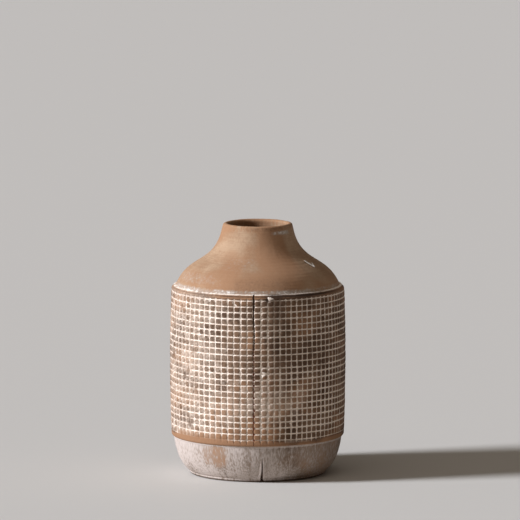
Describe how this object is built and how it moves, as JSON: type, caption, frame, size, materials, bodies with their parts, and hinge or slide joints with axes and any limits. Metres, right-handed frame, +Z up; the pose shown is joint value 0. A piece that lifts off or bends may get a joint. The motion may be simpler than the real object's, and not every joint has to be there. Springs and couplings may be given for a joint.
{
  "type": "flower vase",
  "caption": "Round clay flower vase: flared foot, straight body wrapped in a band of small raised squares, domed shoulder, short narrow neck with a rolled lip.",
  "frame": {"origin": "centre of the base, on the surface that the vase stands on", "axes": "+Z up along the vase's axis; -Y is the front, where the band's seam is"},
  "size_m": [0.177, 0.177, 0.254],
  "materials": {
    "smooth_clay": "unglazed smooth terracotta, warm tan, matte, faintly mottled",
    "washed_clay": "unglazed terracotta with cream whitewash left in the grooves between raised squares",
    "limed_clay": "terracotta brushed with a thin chalky whitewash, streaked and worn to brown in places",
    "raw_clay": "raw unglazed terracotta",
    "slip": "dark red-brown clay slip"
  },
  "bodies": {
    "root": {"foot_ring": "limed_clay", "floor_disc": "raw_clay", "foot_wall": "limed_clay", "body_wall": "raw_clay", "textured_band": "washed_clay", "band_seam": "slip", "shoulder": "smooth_clay", "neck": "smooth_clay", "rim_lip": "smooth_clay"}
  },
  "joints": []
}
